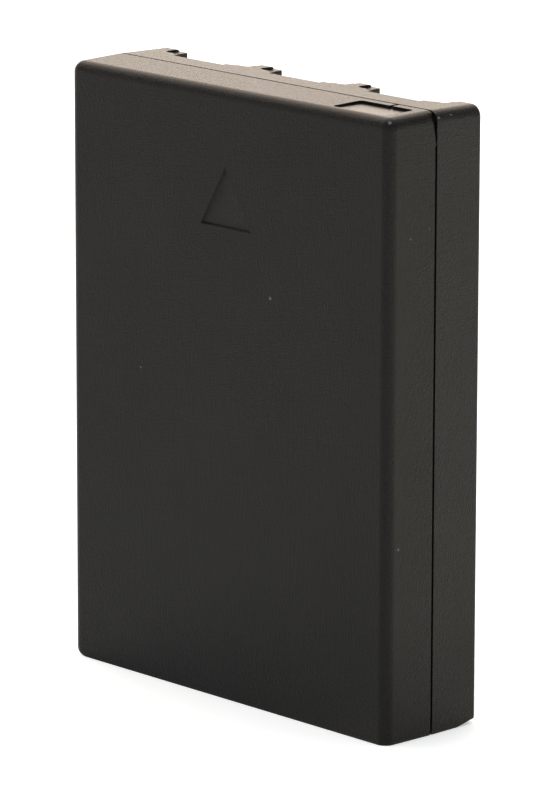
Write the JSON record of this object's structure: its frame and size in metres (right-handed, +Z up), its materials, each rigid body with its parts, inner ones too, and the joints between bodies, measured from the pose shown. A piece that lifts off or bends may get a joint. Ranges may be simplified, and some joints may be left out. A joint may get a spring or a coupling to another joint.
{
  "type": "camera battery",
  "caption": "Flat rectangular rechargeable battery pack for a compact camera: two moulded half shells around a lithium cell, with recessed contacts at the top rear edge.",
  "frame": {"origin": "middle of the base, halfway between the front and rear faces", "axes": "+Z up towards the contact end, -Y out of the front face with the arrow mark, +X to the right seen from the front"},
  "size_m": [0.0334, 0.0092, 0.045],
  "materials": {
    "shell_plastic": "fine moulded grain, satin black",
    "can_aluminium": "drawn, satin",
    "gasket_plastic": "moulded",
    "nickel": "rolled nickel strip",
    "sleeve_film": "thin polyester film",
    "pad_foam": "closed-cell foam",
    "tape": "double-sided adhesive tape",
    "insulating_card": "vulcanised insulating card",
    "holder_plastic": "moulded, natural",
    "board_resin": "solder-masked board",
    "contact_plating": "gold-plated plate",
    "fuse_body": "coated polymer fuse",
    "chip_resin": "moulded epoxy",
    "passive_ceramic": "fired ceramic",
    "label_film": "plain unprinted polyester label"
  },
  "bodies": {
    "root": {"front_shell": "shell_plastic", "rear_shell": "shell_plastic", "cell_can": "can_aluminium", "cell_gasket": "gasket_plastic", "cell_terminal": "nickel", "cell_sleeve": "sleeve_film", "bottom_pad": "pad_foam", "front_tape": "tape", "rear_tape": "tape", "top_insulator": "insulating_card", "board_holder": "holder_plastic", "protection_board": "board_resin", "positive_contact": "contact_plating", "sense_contact": "contact_plating", "negative_contact": "contact_plating", "positive_lead": "nickel", "negative_lead": "nickel", "resettable_fuse": "fuse_body", "fuse_lead": "nickel", "protection_chip": "chip_resin", "switch_transistors": "chip_resin", "thermistor": "passive_ceramic", "filter_resistors": "passive_ceramic", "filter_capacitors": "passive_ceramic", "rear_label": "label_film"}
  },
  "joints": []
}
